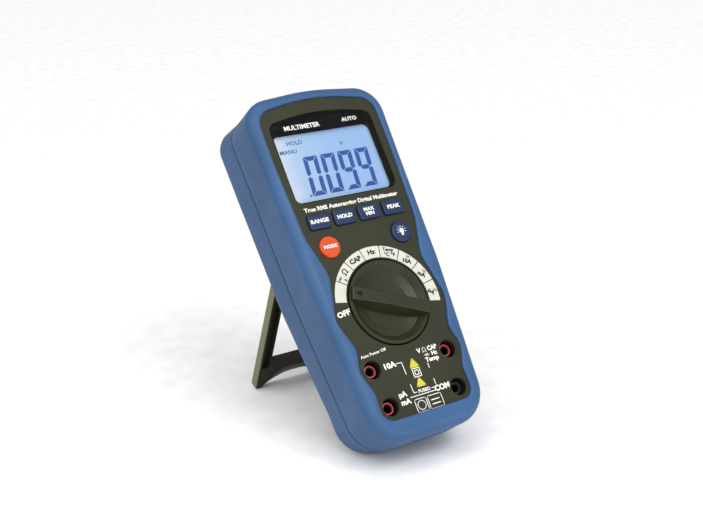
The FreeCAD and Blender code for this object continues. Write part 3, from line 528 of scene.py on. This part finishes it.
def rear_skin():
    """Drafted side wall and rolled rear edge, which stops where it meets the hard panel."""
    panel = alongside(PANEL, REAR)
    rings = [drafted(SKIN, SPLIT - APART), drafted(GROOVE, SPLIT - APART), drafted(GROOVE, SPLIT - SEAM)]
    rings += [drafted(inset, SPLIT - SEAM - past) for inset, past in SEAM_EDGE]
    rings += [drafted(0, z) for z in REAR_WALL]
    spans = []
    for (p, n), (q, m) in zip(BODY, REAR):
        lean = math.atan2((q - p).dot(m), SPLIT - BACK)
        hub = REAR_EDGE * (math.tan(lean) + 1 / math.cos(lean))
        reach = smooth_least(hub, min((r - q).length for r, o in PANEL) - PANEL_LIP)
        spans.append((hub, -lean, math.acos((hub - reach) / REAR_EDGE)))
    for k in range(EDGE_STEPS + 1):
        ring = []
        for (q, m), (hub, start, end) in zip(REAR, spans):
            a = start + (end - start) * k / EDGE_STEPS
            ring.append((*(q - m * (hub - REAR_EDGE * math.cos(a))), BACK + REAR_EDGE * (1 - math.sin(a))))
        rings.append(ring)
    brims = [point[2] for point in rings[-1]]
    for k in range(PANEL_STEPS + 1):
        a = math.radians(90 * k / PANEL_STEPS)
        out, down = PANEL_LIP * (1 - math.sin(a)), PANEL_LIP * (1 - math.cos(a))
        rings.append([(q.x + m.x * out, q.y + m.y * out, z + down) for (q, m), z in zip(panel, brims)])
    rings += [level(panel, 0, PANEL_DEPTH), drafted(SKIN, PANEL_DEPTH)]
    skin = rings_mesh("rear_skin", rings, "case", "blue_rubber", None)
    drill = bmesh.new()
    for x, y in SCREW_HOLES:
        bmesh.ops.create_cone(drill, cap_ends=True, segments=40, radius1=SCREW_R, radius2=SCREW_R, depth=8.0,
                              matrix=Matrix.Translation((x, y, -40.0)))
    tool = from_bmesh("drill", drill, "case", "blue_rubber")
    cutter = skin.modifiers.new("screw_holes", "BOOLEAN")
    cutter.object, cutter.solver, cutter.operation = tool, "EXACT", "DIFFERENCE"
    bpy.context.view_layer.update()
    cut = bpy.data.meshes.new_from_object(skin.evaluated_get(bpy.context.evaluated_depsgraph_get()))
    skin.modifiers.clear()
    skin.data = cut
    bpy.data.objects.remove(tool)
    cut.shade_smooth()
    cut.set_sharp_from_angle(angle=math.radians(HARD_EDGE))
    return skin


def groove_shade_strip():
    """Black strip at the bottom of the groove between the two skins: painted shade that darkens the groove."""
    low, high = SPLIT - SEAM + STRIP_GAP, SPLIT + SEAM - STRIP_GAP
    rings = [level(BODY, GROOVE - STRIP_INNER, high), level(BODY, GROOVE - STRIP_OUTER, high),
             level(BODY, GROOVE - STRIP_OUTER, low), level(BODY, GROOVE - STRIP_INNER, low)]
    return rings_mesh("groove_shade_strip", rings, "case", "black_rubber", HARD_EDGE)


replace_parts(front_skin(), "front_overmould")
groove_shade_strip()
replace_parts(rear_skin(), "rear_overmould")


# ---------------------------------------------------------------- display
LCD_Z = (-4.19, -4.13)


def segment_polygons(width, height, thick):
    """The seven segments of a digit, drawn upright with its lower left corner at the origin."""
    w, h, t, g = width, height, thick, 0.22
    m = h / 2
    top = [(g, h), (w - g, h), (w - t - g, h - t), (t + g, h - t)]
    bottom = [(g, 0), (t + g, t), (w - t - g, t), (w - g, 0)]
    middle = [(t * 0.62, m), (t + 0.25, m + t / 2), (w - t - 0.25, m + t / 2), (w - t * 0.62, m),
              (w - t - 0.25, m - t / 2), (t + 0.25, m - t / 2)]
    upper_left = [(0, h - g), (t, h - t - g), (t, m + t / 2 + 0.1), (t / 2, m + g), (0, m + g + t * 0.35)]
    lower_left = [(x, h - y) for x, y in upper_left]
    upper_right = [(w - x, y) for x, y in upper_left]
    lower_right = [(w - x, y) for x, y in lower_left]
    return {"a": top, "b": upper_right, "c": lower_right, "d": bottom, "e": lower_left, "f": upper_left, "g": middle}


DIGITS = {"0": "abcdef", "9": "abcdfg"}


def display_reading():
    bm = bmesh.new()
    width, height, lean = 8.1, 20.9, 0.085
    polygons = segment_polygons(width, height, 2.35)
    for i, digit in enumerate("0099"):
        x0, y0 = -16.6 + 10.0 * i, 126.2
        for key in DIGITS[digit]:
            prism(bm, [(x0 + x + lean * y, y0 + y) for x, y in polygons[key]], *LCD_Z)
    prism(bm, [(-18.3, 126.2), (-17.3, 126.2), (-17.1, 127.3), (-18.1, 127.3)], *LCD_Z)
    return from_bmesh("display_reading", bm, "case", "lcd_ink")


def display_flags():
    bm = bmesh.new()
    letters(bm, "HOLD", -16.2, 155.2, 2.1, *LCD_Z, stretch=1.1, bold=0.02)
    letters(bm, "MANU", -21.2, 150.9, 2.1, *LCD_Z, stretch=1.1, bold=0.02)
    letters(bm, "V", 9.6, 151.2, 1.9, *LCD_Z, stretch=1.3, bold=0.02)
    return from_bmesh("display_flags", bm, "case", "lcd_faint")


display_reading()
display_flags()

# ---------------------------------------------------------------- printed legends
FACE_Z, BAND_Z = (0.0, 0.05), (-0.7, -0.66)


def face_print():
    bm = bmesh.new()
    low, high = FACE_Z
    letters(bm, "True RMS Autoranging Digital Multimeter", 0.2, 118.3, 2.0, low, high, bold=0.036, stretch=1.1)
    letters(bm, "OFF", -26.2, 65.0, 2.5, low, high, angle=6, bold=0.045, stretch=1.12)
    stroke(bm, [(-22.9, 66.3), (-22.5, 66.9)], 0.5, low, high)
    letters(bm, "Auto Power Off", -18.6, 43.3, 1.4, low, high, angle=4, bold=0.022, stretch=1.08)
    letters(bm, "10A", -12.8, 35.6, 2.6, low, high, angle=2, bold=0.045, stretch=1.12)
    letters(bm, "µA", -11.6, 20.9, 2.5, low, high, bold=0.045, stretch=1.02)
    letters(bm, "mA", -11.2, 17.1, 2.5, low, high, bold=0.045, stretch=1.02)
    letters(bm, "COM", 10.9, 19.1, 2.6, low, high, bold=0.045, stretch=1.02)
    letters(bm, "V", 5.6, 38.6, 2.1, low, high, bold=0.045, stretch=1.05)
    letters(bm, "CAP", 13.3, 38.6, 2.1, low, high, bold=0.045, stretch=0.95)
    letters(bm, "Hz", 13.5, 35.9, 1.9, low, high, bold=0.04)
    letters(bm, "Temp", 11.3, 33.4, 2.1, low, high, bold=0.04, stretch=1.08)
    letters(bm, "FUSED", 0.8, 20.1, 1.55, low, high, bold=0.03, stretch=1.08)
    omega(bm, 8.6, 38.6, 1.05, 0.4, low, high)
    diode(bm, 9.2, 35.9, 0.75, 0.26, low, high)
    stroke(bm, [(-9.0, 35.7), (-5.8, 35.6), (-5.6, 29.6)], 0.38, low, high)
    stroke(bm, [(-5.5, 24.3), (-5.3, 20.1), (-3.6, 20.1)], 0.38, low, high)
    stroke(bm, [(5.1, 20.1), (7.0, 20.1)], 0.38, low, high)
    stroke(bm, [(-8.0, 18.5), (7.0, 18.5)], 0.38, low, high)
    stroke(bm, [(7.9, 31.8), (7.9, 29.6)], 0.38, low, high)
    stroke(bm, [(8.0, 24.0), (8.0, 21.2)], 0.38, low, high)
    for half in (2.05, 1.05):
        stroke(bm, [(0.3 - half, 29.1 - half), (0.3 + half, 29.1 - half), (0.3 + half, 29.1 + half),
                    (0.3 - half, 29.1 + half)], 0.42, low, high, closed=True)
    frame_box(bm, -3.4, 13.7, 3.2, 3.2, low, high)
    stroke(bm, arc(-3.4, 13.7, 2.2, 0, 345, 22), 0.38, low, high, closed=True)
    frame_box(bm, 4.7, 13.7, 3.9, 3.2, low, high)
    stroke(bm, [(2.4, 12.6), (7.0, 12.6)], 0.5, low, high)
    stroke(bm, [(2.4, 14.6), (7.0, 14.6)], 0.5, low, high)
    return from_bmesh("face_print", bm, "case", "print_white")


BOX_CORNER = 0.8


def frame_box(bm, x, y, half_x, half_y, low, high):
    """Adds the line of a box with round corners."""
    dx, dy = half_x - BOX_CORNER, half_y - BOX_CORNER
    corners = [(dx, dy, 0), (-dx, dy, 90), (-dx, -dy, 180), (dx, -dy, 270)]
    points = []
    for cx, cy, start in corners:
        points += arc(x + cx, y + cy, BOX_CORNER, start, start + 90, 5)
    stroke(bm, points, 0.36, low, high, closed=True)


def omega(bm, x, y, radius, width, low, high, angle=0.0):
    bowl = arc(0, 0.15 * radius, radius * 0.86, -52, 232, 18)
    feet = [(radius, -radius * 0.98), (radius * 0.42, -radius * 0.98)] + bowl
    feet += [(-radius * 0.42, -radius * 0.98), (-radius, -radius * 0.98)]
    stroke(bm, moved(feet, x, y, angle), width, low, high)


def diode(bm, x, y, size, width, low, high, angle=0.0):
    stroke(bm, moved([(-2 * size, 0), (2 * size, 0)], x, y, angle), width, low, high)
    prism(bm, moved([(-0.8 * size, 0.9 * size), (-0.8 * size, -0.9 * size), (0.7 * size, 0)], x, y, angle), low, high)
    stroke(bm, moved([(0.8 * size, 0.9 * size), (0.8 * size, -0.9 * size)], x, y, angle), width, low, high)


def band_print():
    """Generic words on the dark band above the display."""
    bm = bmesh.new()
    letters(bm, "MULTIMETER", -11.0, 161.8, 2.3, *BAND_Z, bold=0.03, stretch=1.05)
    letters(bm, "AUTO", 17.0, 162.2, 2.0, *BAND_Z, bold=0.03, stretch=1.1)
    return from_bmesh("band_print", bm, "case", "print_white")


def caution_marks():
    """Two plain yellow triangles between the jacks."""
    bm = bmesh.new()
    for y in (33.6, 24.1):
        stroke(bm, [(-2.1, y - 1.6), (2.5, y - 1.6), (0.2, y + 2.2)], 0.75, *FACE_Z, closed=True)
        prism(bm, [(-1.9, y - 1.5), (2.3, y - 1.5), (0.2, y + 2.0)], FACE_Z[0], FACE_Z[1] - 0.01)
    return from_bmesh("caution_marks", bm, "case", "print_yellow")


SCALE_Z = (0.08, 0.12)


def dial_print():
    bm = bmesh.new()
    low, high = SCALE_Z
    omega(bm, *on_dial(-42.5, 26.0), 1.35, 0.55, low, high, 38)
    diode(bm, *on_dial(-53.0, 26.8), 0.7, 0.34, low, high, 45)
    for radius in (0.5, 1.0):
        stroke(bm, moved(arc(0, 0, radius, -55, 55, 8), *on_dial(-52.5, 24.0), 45), 0.3, low, high)
    letters(bm, "CAP", *on_dial(-22.5, 25.5), 2.3, low, high, angle=13, bold=0.045, stretch=1.1)
    letters(bm, "Hz", *on_dial(0.5, 25.8), 2.3, low, high, bold=0.045, stretch=1.08)
    letters(bm, "Temp", *on_dial(21.5, 27.1), 1.75, low, high, angle=-14, bold=0.035)
    letters(bm, "°C °F", *on_dial(23.5, 24.6), 1.9, low, high, angle=-14, bold=0.035)
    for angle, text in ((45.5, "10A"), (68.0, "mA"), (90.5, "µA")):
        letters(bm, text, *on_dial(angle, 25.0), 2.1, low, high, angle=-0.55 * angle, bold=0.05, stretch=0.98)
        x, y = on_dial(angle - 1.0, 27.7)
        stroke(bm, moved([(-1.0, 0.0), (1.0, 0.0)], x, y, -0.55 * angle), 0.34, low, high)
        stroke(bm, moved([(-1.0, -0.7), (1.0, -0.7)], x, y, -0.55 * angle), 0.28, low, high)
    return from_bmesh("dial_print", bm, "case", "print_black")


face_print()
band_print()
caution_marks()
dial_print()

# ---------------------------------------------------------------- key legends
KEY_Z = (1.4, 1.44)
KEY_PITCH, KEY_Y = 14.3, 111.6


def key_print(name, lines, x, y, body, height):
    bm = bmesh.new()
    for i, text in enumerate(lines):
        dy = (len(lines) - 1) * 1.15 - 2.3 * i
        letters(bm, text, x, y + dy, height, *KEY_Z, bold=0.042, stretch=1.12)
    return from_bmesh(name, bm, body, "print_white")


for i, (word, lines) in enumerate((("range", ["RANGE"]), ("hold", ["HOLD"]), ("max_min", ["MAX", "MIN"]),
                                   ("peak", ["PEAK"]))):
    key_print(word + "_print", lines, (i - 1.5) * KEY_PITCH, KEY_Y, word + "_button", 1.9 if len(lines) == 1 else 1.7)
key_print("mode_print", ["MODE"], -20.8, 98.1, "mode_button", 1.6)


def bulb_print():
    bm = bmesh.new()
    x, y = 20.8, 98.1
    prism(bm, arc(x, y + 0.3, 1.25, -50, 230, 18), *KEY_Z)
    prism(bm, [(x - 0.6, y - 2.1), (x + 0.6, y - 2.1), (x + 0.7, y - 0.5), (x - 0.7, y - 0.5)], *KEY_Z)
    for i in range(7):
        a = math.radians(-15 + 35 * i)
        stroke(bm, [(x + 1.8 * math.cos(a), y + 0.3 + 1.8 * math.sin(a)),
                    (x + 2.6 * math.cos(a), y + 0.3 + 2.6 * math.sin(a))], 0.3, *KEY_Z)
    return from_bmesh("bulb_print", bm, "backlight_button", "print_white")


bulb_print()

# ---------------------------------------------------------------- jack wells
JACKS = {"10a": (-21.9, 35.9), "v": (21.9, 35.9), "ma": (-19.8, 17.0), "com": (19.8, 17.0)}


WELL_SIDES = 64


def turned_profile(name, x, y, profile, material):
    """Closed ring with the given section (radius, z)."""
    bm = bmesh.new()
    turns = [2 * math.pi * k / WELL_SIDES for k in range(WELL_SIDES)]
    loops = []
    for radius, z in profile:
        loops.append([bm.verts.new((x + radius * math.cos(a), y + radius * math.sin(a), z)) for a in turns])
    for a, b in zip(loops, loops[1:] + loops[:1]):
        for k in range(WELL_SIDES):
            m = (k + 1) % WELL_SIDES
            bm.faces.new((a[k], a[m], b[m], b[k]))
    return from_bmesh(name, bm, "case", material, HARD_EDGE)


# The black liners inside the jack wells are painted shade; the collars are raised lips round the wells.
for key, (x, y) in JACKS.items():
    turned_profile("well_shade_liner_" + key, x, y, [(4.49, -0.35), (4.49, -18.5), (4.35, -18.5), (4.35, -0.42)],
                   "black_plastic")
    turned_profile("well_collar_" + key, x, y, [(4.5, -0.5), (4.5, 0.06), (4.56, 0.13), (4.7, 0.16), (4.9, 0.14),
                                                (5.08, 0.07), (5.15, -0.02), (5.15, -0.5)],
                   "face_plastic")

# ---------------------------------------------------------------- surroundings
FLOOR_HALF = 6.0
floor_mesh = bpy.data.meshes.new("floor")
floor_mesh.from_pydata([(-FLOOR_HALF, -FLOOR_HALF, 0), (FLOOR_HALF, -FLOOR_HALF, 0), (FLOOR_HALF, FLOOR_HALF, 0),
                        (-FLOOR_HALF, FLOOR_HALF, 0)], [], [(0, 1, 2, 3)])
floor = bpy.data.objects.new("floor", floor_mesh)
floor_mesh.materials.append(moulded("floor_paint", (0.93, 0.93, 0.93), 0.8, grain=60.0, depth=0.0, spread=0.0,
                                    specular=0.05))
bpy.context.scene.collection.objects.link(floor)

sky = bpy.data.worlds.new("studio")
bpy.context.scene.world = sky
sky.use_nodes = True
sky.node_tree.nodes["Background"].inputs["Color"].default_value = (1.0, 1.0, 1.0, 1.0)
sky.node_tree.nodes["Background"].inputs["Strength"].default_value = 0.52
bpy.context.scene.view_settings.view_transform = "Standard"


def aimed(name, light, place, target_height):
    """Puts a light at a place and points it at a height above the origin."""
    target = Vector((0.0, 0.0, target_height))
    holder = bpy.data.objects.new(name, light)
    holder.location = place
    holder.rotation_euler = (target - Vector(place)).to_track_quat("-Z", "Y").to_euler()
    bpy.context.scene.collection.objects.link(holder)


broad = bpy.data.lights.new("broad_light", "SUN")
broad.energy = 2.0
broad.angle = math.radians(75)
aimed("broad_light", broad, (-0.65, -0.95, 1.9), 0.08)
for name, size, energy, place, target_height in (("sheen_box", (0.4, 0.4), 4.0, (0.15, -0.85, 1.05), 0.08),
                                                 ("side_box", (0.5, 1.0), 2.0, (-1.1, 0.05, 0.75), 0.08),
                                                 ("low_box", (0.9, 0.2), 3.5, (0.25, -1.15, 0.12), 0.04)):
    panel_light = bpy.data.lights.new(name, "AREA")
    panel_light.shape = "RECTANGLE"
    panel_light.size, panel_light.size_y = size
    panel_light.energy = energy
    aimed(name, panel_light, place, target_height)
